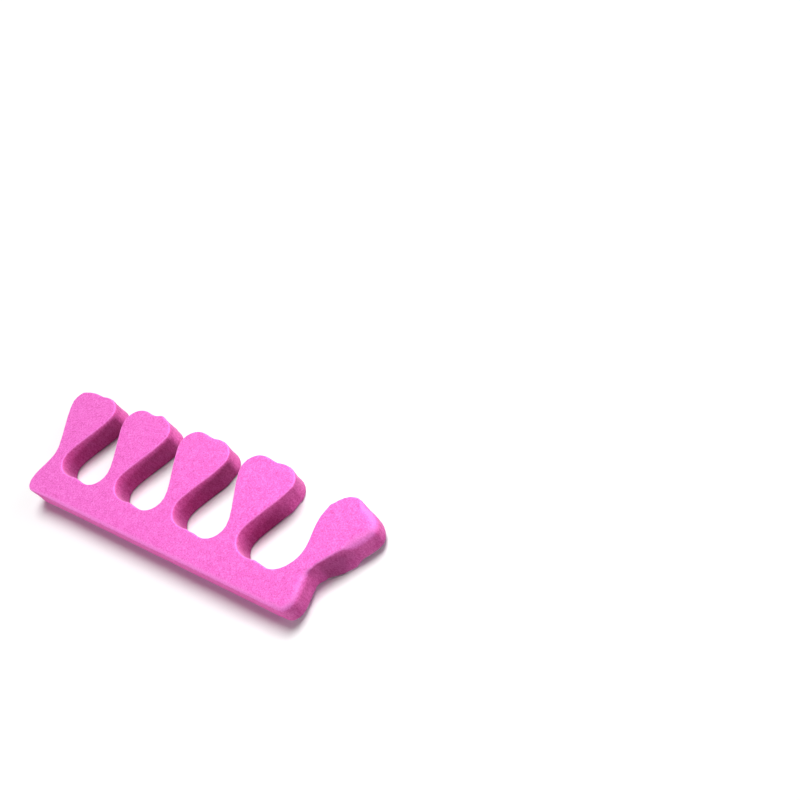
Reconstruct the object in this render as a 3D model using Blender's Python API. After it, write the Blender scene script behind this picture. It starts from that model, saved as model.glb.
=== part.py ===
"""Toe separator: one flat comb of die-cut EVA foam, lying on its back.

X runs along the bar, Y from the bar to the lobe tips, Z through the foam.
The origin is under the middle of the comb. Lengths are in millimetres until
they reach Blender, which works in metres.
"""

import math

import bpy

# Comb
lobe_count = 5
pitch = 20.0           # from one lobe to the next
neck_width = 4.3       # foam at a lobe's neck, and the gap between two heads
bar_height = 6.8       # foam under a slot
lobe_height = 28.4     # from the bar's edge to the lobe tips
thickness = 6.3
edge_radius = 0.5      # the cut edges are rolled over by the die

# Ends of the bar
foot_reach = 3.4       # the left foot stands out from the first lobe's middle
foot_corner = 2.4
foot_waist = 1.8       # the waist over the foot, from the first lobe's middle
foot_waist_height = 10.5
end_reach = 3.6        # the right end stands out from the last lobe's regular place
end_corner = 2.4
end_waist = 2.8
end_waist_height = 9.2

# Last lobe, bent outwards
bent_neck = 1.1        # its neck's left side, from the lobe's regular middle
bent_neck_height = 13.2
bent_fall = math.radians(14)   # its tip slopes down to the right

curve_steps = 6        # straight pieces between two points of the outline
edge_steps = 2         # rings over a rounded edge

lobe_width = pitch - neck_width
half_width = lobe_width / 2
middle = (lobe_height + bar_height) / 2
wave = (lobe_height - bar_height) / 2

UP, DOWN, LEFT, RIGHT = (0, 1), (0, -1), (-1, 0), (1, 0)
FALLING = (math.cos(bent_fall), -math.sin(bent_fall))

# A lobe's tip, as (across, up, direction, handle before, handle after).
# Across and sideways handles are in half lobe widths, up and upright handles
# in half slot depths over the middle line. A slot's bottom is the same shape
# turned half round, because the die cuts two nested combs with one line.
lobe_tip = [
    (-1.00, 0.61, UP, 0.26, 0.22),
    (-0.43, 1.00, RIGHT, 0.32, 0.15),
    (0.06, 0.96, RIGHT, 0.13, 0.09),
    (0.35, 0.98, RIGHT, 0.09, 0.36),
    (1.00, 0.61, DOWN, 0.22, 0.24),
]
bent_tip = [
    (-0.25, 0.26, UP, 0.26, 0.30),
    (0.44, 0.87, RIGHT, 0.34, 0.17),
    (0.93, 0.77, FALLING, 0.16, 0.20),
    (1.46, 0.40, DOWN, 0.24, 0.18),
]


def metres(length):
    return length / 1000


def on_tip(centre, tip):
    """Outline points of a lobe's tip that stands over centre."""
    points = []
    for across, up, direction, before, after in tip:
        unit = wave if direction in (UP, DOWN) else half_width
        place = (centre + across * half_width, middle + up * wave)
        points.append((place, direction, before * unit, after * unit))
    return points


def on_slot(centre):
    """Outline points of a slot's bottom: a lobe's tip turned half round."""
    points = []
    for place, direction, before, after in reversed(on_tip(-centre, lobe_tip)):
        turned = (-place[0], 2 * middle - place[1])
        points.append((turned, direction, after, before))
    return points


def comb_outline():
    """The whole cut line, clockwise from the left foot's lower corner."""
    foot = -foot_reach
    last = (lobe_count - 1) * pitch
    end = last + end_reach
    points = [
        ((foot + foot_corner, 0.0), LEFT, 0.0, foot_corner * 0.6),
        ((foot, foot_corner * 1.25), UP, foot_corner * 0.65, foot_waist_height * 0.22),
        ((-foot_waist, foot_waist_height), UP, foot_waist_height * 0.25, foot_waist_height * 0.26),
    ]
    for lobe in range(lobe_count - 1):
        points += on_tip(lobe * pitch, lobe_tip)
        points += on_slot((lobe + 0.5) * pitch)
    points[-1] = ((last - bent_neck, bent_neck_height), UP, wave * 0.30, wave * 0.21)
    points += on_tip(last, bent_tip)
    points += [
        ((last + end_waist, end_waist_height), DOWN, end_waist_height * 0.36, end_waist_height * 0.22),
        ((end, end_corner * 1.4), DOWN, end_waist_height * 0.21, end_corner * 0.6),
        ((end - end_corner, 0.0), LEFT, end_corner * 0.6, 0.0),
    ]
    return points


def draw_outline(curve, points, shift_x, shift_y):
    spline = curve.splines.new("BEZIER")
    spline.bezier_points.add(len(points) - 1)
    spline.use_cyclic_u = True
    for knot, (place, direction, before, after) in zip(spline.bezier_points, points):
        x, y = place[0] + shift_x, place[1] + shift_y
        dx, dy = direction
        knot.handle_left_type = knot.handle_right_type = "FREE"
        knot.co = (metres(x), metres(y), 0)
        knot.handle_left = (metres(x - dx * before), metres(y - dy * before), 0)
        knot.handle_right = (metres(x + dx * after), metres(y + dy * after), 0)


def foam_material():
    material = bpy.data.materials.new("eva_foam")
    material.use_nodes = True
    shader = material.node_tree.nodes["Principled BSDF"]
    shader.inputs["Base Color"].default_value = (0.84, 0.12, 0.50, 1)
    shader.inputs["Roughness"].default_value = 0.85
    shader.inputs["Metallic"].default_value = 0.0
    return material


def toe_separator(collection):
    curve = bpy.data.curves.new("toe_separator", "CURVE")
    curve.dimensions = "2D"
    curve.fill_mode = "BOTH"
    curve.resolution_u = curve_steps
    curve.extrude = metres(thickness / 2 - edge_radius)
    curve.bevel_depth = metres(edge_radius)
    curve.bevel_resolution = edge_steps
    curve.offset = -metres(edge_radius)
    left = -half_width
    right = (lobe_count - 1) * pitch + bent_tip[-1][0] * half_width
    draw_outline(curve, comb_outline(), -(left + right) / 2, -lobe_height / 2)
    curve.materials.append(foam_material())
    comb = bpy.data.objects.new("toe_separator", curve)
    comb.location.z = metres(thickness / 2)
    collection.objects.link(comb)
    return comb


for old in list(bpy.data.objects):
    bpy.data.objects.remove(old, do_unlink=True)

parts = bpy.data.collections.new("toe_separator")
bpy.context.scene.collection.children.link(parts)
toe_separator(parts)
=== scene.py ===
import math

import bpy
from mathutils import Euler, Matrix, Vector, kdtree, noise


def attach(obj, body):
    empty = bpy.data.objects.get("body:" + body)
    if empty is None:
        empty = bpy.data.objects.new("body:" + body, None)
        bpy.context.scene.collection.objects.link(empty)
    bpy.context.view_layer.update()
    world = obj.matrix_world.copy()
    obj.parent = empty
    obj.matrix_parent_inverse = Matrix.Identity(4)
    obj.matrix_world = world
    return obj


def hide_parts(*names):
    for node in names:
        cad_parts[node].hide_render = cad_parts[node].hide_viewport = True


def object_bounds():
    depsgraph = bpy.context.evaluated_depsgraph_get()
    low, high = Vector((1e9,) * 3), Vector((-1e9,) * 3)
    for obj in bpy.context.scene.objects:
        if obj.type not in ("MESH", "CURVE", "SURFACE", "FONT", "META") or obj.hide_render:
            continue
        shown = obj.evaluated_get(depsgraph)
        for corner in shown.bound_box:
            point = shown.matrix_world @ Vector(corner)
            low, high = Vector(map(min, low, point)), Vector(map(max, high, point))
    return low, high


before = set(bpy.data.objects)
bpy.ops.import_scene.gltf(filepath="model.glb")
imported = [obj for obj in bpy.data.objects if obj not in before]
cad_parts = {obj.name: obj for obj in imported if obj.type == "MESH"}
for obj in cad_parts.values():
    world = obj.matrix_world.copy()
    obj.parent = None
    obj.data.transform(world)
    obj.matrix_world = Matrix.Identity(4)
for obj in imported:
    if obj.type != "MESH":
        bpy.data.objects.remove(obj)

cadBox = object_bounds()
mm = 0.001
combFloor, combTop = cadBox[0][2], cadBox[1][2]
print("frame loaded, comb is", round((combTop - combFloor) / mm, 1), "mm thick")


def deselectAll():
    for item in bpy.context.selected_objects:
        item.select_set(False)


def makeActive(item):
    deselectAll()
    item.select_set(True)
    bpy.context.view_layer.objects.active = item


def addModifier(item, kind, **settings):
    modifier = item.modifiers.new(kind.title(), kind)
    for key, value in settings.items():
        setattr(modifier, key, value)
    return modifier


def applyAll(item):
    makeActive(item)
    for modifier in list(item.modifiers):
        bpy.ops.object.modifier_apply(modifier=modifier.name)


def linear(hexColour):
    channels = []
    for i in (1, 3, 5):
        v = int(hexColour[i:i + 2], 16) / 255
        channels.append(v / 12.92 if v <= 0.04045 else ((v + 0.055) / 1.055) ** 2.4)
    return (*channels, 1.0)


def grey(level):
    return (level, level, level, 1.0)


def addNode(tree, kind, settings=None, values=None, links=None, stops=None):
    node = tree.nodes.new(kind)
    for key, value in (settings or {}).items():
        setattr(node, key, value)
    for key, value in (values or {}).items():
        node.inputs[key].default_value = value
    for key, source in (links or {}).items():
        tree.links.new(source, node.inputs[key])
    if stops:
        elements = node.color_ramp.elements
        while len(elements) < len(stops):
            elements.new(0.5)
        for element, (position, colour) in zip(elements, stops):
            element.position = position
            element.color = colour
    return node


# EVA foam, closed cell, split from a block and die cut. The split opens the cells on the
# face, so the eye sees a fine speckle and no gloss. The die leaves the walls smoother,
# with faint streaks the way it went.
foamLook = {
    "light": "#f385d8",
    "face": "#eb62c7",
    "dark": "#d545a3",
    # painted shade in the few deep pits
    "pit": "#b93486",
    # painted highlight: the paler pink laid on the rounded edges
    "edge": "#fb8de2",
    # the walls' colours: the streaks are the die's, and that the walls run a little darker and redder than
    # the face is painted shade
    "wallLight": "#f26ac2",
    "wallDark": "#d8409a",
    "cellSize": 0.32,        # mm, a cell is nearer 0.2 but would not show at this distance
    "cloudSize": 1.5,        # mm, patches of coarser cells
    "cloudShare": 0.12,      # how much the patches count beside the cells
    "pitSize": 0.75,         # mm between the few deep pits
    "pitShare": 0.6,         # how far a pit takes its painted shade colour
    "streakSize": 0.45,      # mm, spacing of the streaks on a wall
    "streakStretch": 0.35,   # the smaller, the longer they run through the thickness
    "wallCellShare": 0.6,    # how much the cells count beside the streaks
    "rimHighlightShare": 0.4,        # how far the rounded edge takes the painted highlight colour
    "pitDepth": 0.07,        # mm
    "bumpStrength": 0.6,
    "roughness": 0.88,
    "sheen": 0.3,            # the torn cells glow a little along an edge
    "sheenRoughness": 0.5,
    "sheenTint": "#ffd0f0",
}


def foamMaterial():
    material = bpy.data.materials.new("evaFoamSplitSheet")
    material.use_nodes = True
    tree = material.node_tree
    shader = tree.nodes["Principled BSDF"]
    place = addNode(tree, "ShaderNodeTexCoord")

    cells = addNode(tree, "ShaderNodeTexNoise",
                    values={"Scale": 1 / (foamLook["cellSize"] * mm), "Detail": 3.0, "Roughness": 0.65},
                    links={"Vector": place.outputs["Object"]})
    clouds = addNode(tree, "ShaderNodeTexNoise",
                     values={"Scale": 1 / (foamLook["cloudSize"] * mm), "Detail": 2.0, "Roughness": 0.5},
                     links={"Vector": place.outputs["Object"]})
    speckle = addNode(tree, "ShaderNodeMix", {"data_type": "FLOAT"}, {"Factor": foamLook["cloudShare"]},
                      {"A": cells.outputs["Fac"], "B": clouds.outputs["Fac"]})
    face = addNode(tree, "ShaderNodeValToRGB", links={"Fac": speckle.outputs["Result"]}, stops=[
        (0.34, linear(foamLook["dark"])),
        (0.50, linear(foamLook["face"])),
        (0.68, linear(foamLook["light"])),
    ])

    # painted shade: a few cells are deep pits, painted darker for the shade inside them
    pits = addNode(tree, "ShaderNodeTexVoronoi",
                   values={"Scale": 1 / (foamLook["pitSize"] * mm), "Randomness": 1.0},
                   links={"Vector": place.outputs["Object"]})
    pitMask = addNode(tree, "ShaderNodeValToRGB", links={"Fac": pits.outputs["Distance"]}, stops=[
        (0.08, grey(foamLook["pitShare"])),
        (0.20, grey(0)),
    ])
    pitted = addNode(tree, "ShaderNodeMix", {"data_type": "RGBA"},
                     links={"Factor": pitMask.outputs["Color"], "A": face.outputs["Color"]})
    pitted.inputs["B"].default_value = linear(foamLook["pit"])

    # the walls are where the normal lies flat
    normal = addNode(tree, "ShaderNodeSeparateXYZ", links={"Vector": place.outputs["Normal"]})
    upright = addNode(tree, "ShaderNodeMath", {"operation": "ABSOLUTE"}, links={0: normal.outputs["Z"]})
    onWall = addNode(tree, "ShaderNodeMapRange", {"interpolation_type": "SMOOTHSTEP"},
                     {"From Min": 0.65, "From Max": 0.2}, {"Value": upright.outputs["Value"]})
    stretch = addNode(tree, "ShaderNodeMapping", values={"Scale": (1, 1, foamLook["streakStretch"])},
                      links={"Vector": place.outputs["Object"]})
    streaks = addNode(tree, "ShaderNodeTexNoise",
                      values={"Scale": 1 / (foamLook["streakSize"] * mm), "Detail": 3.0, "Roughness": 0.6},
                      links={"Vector": stretch.outputs["Vector"]})
    wallFactor = addNode(tree, "ShaderNodeMix", {"data_type": "FLOAT"},
                         {"Factor": foamLook["wallCellShare"]},
                         {"A": streaks.outputs["Fac"], "B": cells.outputs["Fac"]})
    # painted shade: the wall colours are darker and less blue than the face, for the shade the walls stand
    # in; the streaks in them are the die's
    wall = addNode(tree, "ShaderNodeValToRGB", links={"Fac": wallFactor.outputs["Result"]}, stops=[
        (0.40, linear(foamLook["wallDark"])),
        (0.60, linear(foamLook["wallLight"])),
    ])
    cut = addNode(tree, "ShaderNodeMix", {"data_type": "RGBA"},
                  links={"Factor": onWall.outputs["Result"], "A": pitted.outputs["Result"],
                         "B": wall.outputs["Color"]})

    # painted highlight: the rounded edges, where the face turns into a wall, are painted paler pink in
    # place of the light they catch
    rimHighlightMask = addNode(tree, "ShaderNodeValToRGB", links={"Fac": upright.outputs["Value"]}, stops=[
        (0.35, grey(0)),
        (0.62, grey(foamLook["rimHighlightShare"])),
        (0.86, grey(foamLook["rimHighlightShare"])),
        (0.96, grey(0)),
    ])
    colour = addNode(tree, "ShaderNodeMix", {"data_type": "RGBA"},
                     links={"Factor": rimHighlightMask.outputs["Color"], "A": cut.outputs["Result"]})
    colour.inputs["B"].default_value = linear(foamLook["edge"])

    height = addNode(tree, "ShaderNodeMix", {"data_type": "FLOAT"},
                     links={"Factor": onWall.outputs["Result"], "A": cells.outputs["Fac"],
                            "B": wallFactor.outputs["Result"]})
    bump = addNode(tree, "ShaderNodeBump",
                   values={"Strength": foamLook["bumpStrength"], "Distance": foamLook["pitDepth"] * mm},
                   links={"Height": height.outputs["Result"]})
    tree.links.new(colour.outputs["Result"], shader.inputs["Base Color"])
    tree.links.new(bump.outputs["Normal"], shader.inputs["Normal"])
    shader.inputs["Roughness"].default_value = foamLook["roughness"]
    shader.inputs["Sheen Weight"].default_value = foamLook["sheen"]
    shader.inputs["Sheen Roughness"].default_value = foamLook["sheenRoughness"]
    shader.inputs["Sheen Tint"].default_value = linear(foamLook["sheenTint"])
    return material


# The comb. Lengths in millimetres, places in the comb's own frame.
combLook = {
    "mergeDistance": 0.002,    # the CAD mesh is loose triangles, which this joins
    "voxel": 0.27,             # grid of the remesh, fine enough for the rounded cut edges
    "smoothTurns": 2,
    "smoothShare": 0.5,
    "plainWall": 0.3,          # a normal that rises less than this is on a wall, clear of its edges
    "wallEnd": 0.7,            # and at this much the wall's hollow has run out
    "wallHollow": 0.14,        # foam squashes under the die, so its cut walls spring back hollow
    "cutWave": 0.06,           # the cut line wanders a little
    "faceWave": 0.05,          # and the sheet is not quite flat
    "waveLength": 6.0,
    "waveThrough": 0.4,        # the smaller, the less a wave changes through the thickness
    "grainSize": 0.6,          # torn cells
    "grainDetail": 2,
    "grainDepth": 0.045,
    "dentEnd": 3,              # a dent has run out at this many times its reach
    "slantGap": 1.5,           # foam further out from a slanted wall is the next lobe's
    "slantStart": 0.35,        # share of a slanted wall's length over which its slant grows
    "slantEnd": 1.35,          # share at which the slant has run out
    "slantFade": 0.7,          # and over which it shrinks before that
    "wornFade": 0.4,           # share of a worn place's reach over which it fades
}

# What sets one lobe apart from the next: (x, y, reach, push in x, push in y)
handDents = [
    (-46.2, 13.9, 2.6, 0.0, -0.45),     # the first lobe's tip is squashed flatter
    (-47.9, 12.4, 0.8, -0.12, 0.16),    # and has a small corner on its shoulder
    (-20.0, 14.2, 1.4, 0.15, 0.55),     # the second lobe's smaller hump stands up
    (36.9, 9.3, 0.8, -0.20, 0.15),      # a small step on the last lobe's shoulder
    (8.0, -7.4, 0.7, 0.0, -0.30),       # a nick in the third slot's bottom
]

# Walls that don't stand upright: (start, end, depth into the foam, slant outwards at the floor)
slantedWalls = [
    ((41.6, -4.6), (49.2, 7.0), 4.5, 1.4),     # the last lobe is bent, its lower wall leans out
    ((6.0, 6.5), (3.5, 13.5), 4.0, -0.7),      # the cut drifted on the third lobe's shoulder
    ((26.0, 6.5), (23.5, 13.5), 4.0, -0.7),    # and on the fourth's
]

# Edges that are rounder than the rest: (x, y, reach in x, reach in y, radius)
wornEdges = [
    (6.0, -14.2, 60.0, 2.5, 1.5),     # the bar's lower side
    (41.0, -11.5, 6.0, 9.0, 1.9),     # its right end
    (49.0, 8.5, 8.0, 9.0, 2.3),       # the last lobe's tip
]


def smoothStep(value):
    value = min(1, max(0, value))
    return value * value * (3 - 2 * value)


def levelOf(point):
    return (point.z - combFloor) / (combTop - combFloor)


def hollowWalls(mesh, normals):
    for vertex, normal in zip(mesh.vertices, normals):
        onWall = 1 - min(1, abs(normal.z) / combLook["wallEnd"])
        belly = 1 - (2 * levelOf(vertex.co) - 1) ** 2
        depth = combLook["wallHollow"] * mm * onWall * belly
        vertex.co -= Vector((normal.x, normal.y, 0)) * depth


def waveSheet(mesh, normals):
    scale = 1 / (combLook["waveLength"] * mm)
    elsewhere = Vector((7, 3, 1))      # so that the face doesn't wave with the cut line
    for vertex, normal in zip(mesh.vertices, normals):
        x, y, z = vertex.co
        spot = Vector((x, y, z * combLook["waveThrough"])) * scale
        rise = noise.noise(spot + elsewhere) * combLook["faceWave"] * mm * levelOf(vertex.co)
        vertex.co += Vector((normal.x, normal.y, 0)) * noise.noise(spot) * combLook["cutWave"] * mm
        vertex.co.z += rise


def dentByHand(mesh):
    for x, y, reach, pushX, pushY in handDents:
        for vertex in mesh.vertices:
            distance = math.hypot(vertex.co.x / mm - x, vertex.co.y / mm - y) / reach
            if distance < combLook["dentEnd"]:
                vertex.co += Vector((pushX, pushY, 0)) * mm * math.exp(-distance ** 2)


def slantWalls(mesh):
    for start, end, depth, slant in slantedWalls:
        start = Vector(start) * mm
        along = Vector(end) * mm - start
        outward = Vector((along.y, -along.x)).normalized()
        for vertex in mesh.vertices:
            offset = vertex.co.xy - start
            outwards = offset.dot(outward)
            growth = offset.dot(along) / along.length_squared
            if outwards < combLook["slantGap"] * mm:
                reach = smoothStep(growth / combLook["slantStart"])
                reach *= smoothStep((combLook["slantEnd"] - growth) / combLook["slantFade"])
                weight = smoothStep(1 + outwards / (depth * mm)) * reach * (1 - levelOf(vertex.co))
                vertex.co += outward.to_3d() * slant * mm * weight


def wornRadius(place):
    radius = 0
    for x, y, reachX, reachY, wear in wornEdges:
        distance = math.hypot((place.x / mm - x) / reachX, (place.y / mm - y) / reachY)
        radius = max(radius, wear * mm * smoothStep((1 - distance) / combLook["wornFade"]))
    return radius


def wearEdges(mesh, normals):
    wall = [(v.co.xy.to_3d(), -normal.xy.normalized(), wornRadius(v.co))
            for v, normal in zip(mesh.vertices, normals) if abs(normal.z) < combLook["plainWall"]]
    nearest = kdtree.KDTree(len(wall))
    for index, spot in enumerate(wall):
        nearest.insert(spot[0], index)
    nearest.balance()
    for vertex in mesh.vertices:
        index, distance = nearest.find(vertex.co.xy.to_3d())[1:]
        inward, radius = wall[index][1:]
        inwards = radius - distance
        for face, side in ((combTop, 1), (combFloor, -1)):
            upwards = radius - side * (face - vertex.co.z)
            length = math.hypot(inwards, upwards)
            if inwards > 0 and upwards > 0 and length > radius:
                share = 1 - radius / length
                vertex.co += inward.to_3d() * inwards * share
                vertex.co.z -= side * upwards * share


def makeComb():
    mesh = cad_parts["toe_separator"].data.copy()
    comb = bpy.data.objects.new("foam_comb", mesh)
    bpy.context.scene.collection.objects.link(comb)
    mesh.materials.clear()
    makeActive(comb)
    bpy.ops.object.mode_set(mode="EDIT")
    bpy.ops.mesh.select_all(action="SELECT")
    bpy.ops.mesh.remove_doubles(threshold=combLook["mergeDistance"] * mm)
    bpy.ops.object.mode_set(mode="OBJECT")
    addModifier(comb, "REMESH", mode="VOXEL", voxel_size=combLook["voxel"] * mm)
    addModifier(comb, "SMOOTH", iterations=combLook["smoothTurns"], factor=combLook["smoothShare"])
    applyAll(comb)
    print("comb remeshed,", len(comb.data.polygons), "faces")

    # all normals are read first, because moving a point makes Blender work them out again
    normals = [vertex.normal.copy() for vertex in comb.data.vertices]
    wearEdges(comb.data, normals)
    hollowWalls(comb.data, normals)
    waveSheet(comb.data, normals)
    dentByHand(comb.data)
    slantWalls(comb.data)

    grain = bpy.data.textures.new("tornCells", "CLOUDS")
    grain.noise_scale = combLook["grainSize"] * mm
    grain.noise_depth = combLook["grainDetail"]
    addModifier(comb, "DISPLACE", texture=grain, texture_coords="LOCAL", mid_level=0.5,
                strength=combLook["grainDepth"] * mm)
    applyAll(comb)
    bpy.ops.object.shade_smooth()
    comb.data.materials.append(foamMaterial())
    print("comb shaped")
    return comb


# White paper. It is matt, so it shows the comb's soft shadow and nothing else.
floorLook = {
    "size": 4.0,             # m
    "paper": "#ffffff",      # as the camera sees it
    "bounce": "#525252",     # as it lights the comb, so that the walls stay deep
}


def makeFloor():
    bpy.ops.mesh.primitive_plane_add(size=floorLook["size"], location=(0, 0, combFloor))
    floor = bpy.context.object
    floor.name = "floor"
    material = bpy.data.materials.new("mattWhitePaper")
    material.use_nodes = True
    tree = material.node_tree
    shader = tree.nodes["Principled BSDF"]
    path = addNode(tree, "ShaderNodeLightPath")
    colour = addNode(tree, "ShaderNodeMix", {"data_type": "RGBA"},
                     links={"Factor": path.outputs["Is Diffuse Ray"]})
    colour.inputs["A"].default_value = linear(floorLook["paper"])
    colour.inputs["B"].default_value = linear(floorLook["bounce"])
    tree.links.new(colour.outputs["Result"], shader.inputs["Base Color"])
    shader.inputs["Roughness"].default_value = 1.0
    shader.inputs["Specular IOR Level"].default_value = 0.0
    floor.data.materials.append(material)


# A big soft light over the comb and three low ones around it.
# Each is (direction to the lamp, spread in degrees, strength).
lamps = {
    "overhead": ((-0.12, 0.44, 0.89), 35, 3.0),
    "side": ((0.92, 0.38, 0.12), 14, 1.55),
    "back": ((0.45, 0.88, 0.20), 46, 0.4),
    "front": ((-0.34, -0.93, 0.05), 10, 2.9),
}

# A small soft lamp over the bent end, which makes that end a little brighter.
nearLamp = {
    "place": (40, 45, 60),     # mm
    "size": 40,                # mm
    "power": 0.022,            # W
}
surround = 0.05      # strength of the white room around them


def addLamp(name, kind, energy, direction):
    data = bpy.data.lights.new(name, kind)
    data.energy = energy
    lamp = bpy.data.objects.new(name, data)
    bpy.context.scene.collection.objects.link(lamp)
    lamp.rotation_euler = Vector(direction).to_track_quat("Z", "Y").to_euler()
    return lamp


def makeLights():
    for name, (direction, spread, strength) in lamps.items():
        sun = addLamp(name, "SUN", strength, direction)
        sun.data.angle = math.radians(spread)
    near = addLamp("near", "AREA", nearLamp["power"], nearLamp["place"])
    near.data.size = nearLamp["size"] * mm
    near.location = Vector(nearLamp["place"]) * mm
    near.visible_camera = False
    world = bpy.data.worlds.new("whiteRoom")
    bpy.context.scene.world = world
    world.use_nodes = True
    tree = world.node_tree
    background = tree.nodes["Background"]
    background.inputs["Color"].default_value = (1, 1, 1, 1)
    path = addNode(tree, "ShaderNodeLightPath")
    seen = addNode(tree, "ShaderNodeMath", {"operation": "MAXIMUM"},
                   links={0: path.outputs["Is Camera Ray"], 1: path.outputs["Is Glossy Ray"]})
    seenThrough = addNode(tree, "ShaderNodeMath", {"operation": "MAXIMUM"},
                          links={0: seen.outputs["Value"], 1: path.outputs["Is Transmission Ray"]})
    strength = addNode(tree, "ShaderNodeMapRange", values={"To Min": surround, "To Max": 1.0},
                       links={"Value": seenThrough.outputs["Value"]})
    tree.links.new(strength.outputs["Result"], background.inputs["Strength"])


viewpoint = {
    "lens": 50.0,                         # mm
    "sensor": 36.0,                       # mm
    "place": (174.45, -38.49, 175.73),    # mm
    "turn": (36.208, 23.812, 32.578),     # degrees
    "nearest": 0.01,                      # m, what the camera still shows
    "farthest": 20.0,                     # m
}


def makeCamera():
    data = bpy.data.cameras.new("camera")
    data.lens = viewpoint["lens"]
    data.sensor_width = viewpoint["sensor"]
    data.clip_start = viewpoint["nearest"]
    data.clip_end = viewpoint["farthest"]
    camera = bpy.data.objects.new("camera", data)
    bpy.context.scene.collection.objects.link(camera)
    camera.location = Vector(viewpoint["place"]) * mm
    camera.rotation_euler = Euler([math.radians(angle) for angle in viewpoint["turn"]])
    bpy.context.scene.camera = camera


makeCamera()
print("camera set")

comb = makeComb()
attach(comb, "root")
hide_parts("toe_separator")

makeFloor()
makeLights()
print("floor and lights set")

bpy.context.scene.view_settings.view_transform = "Standard"
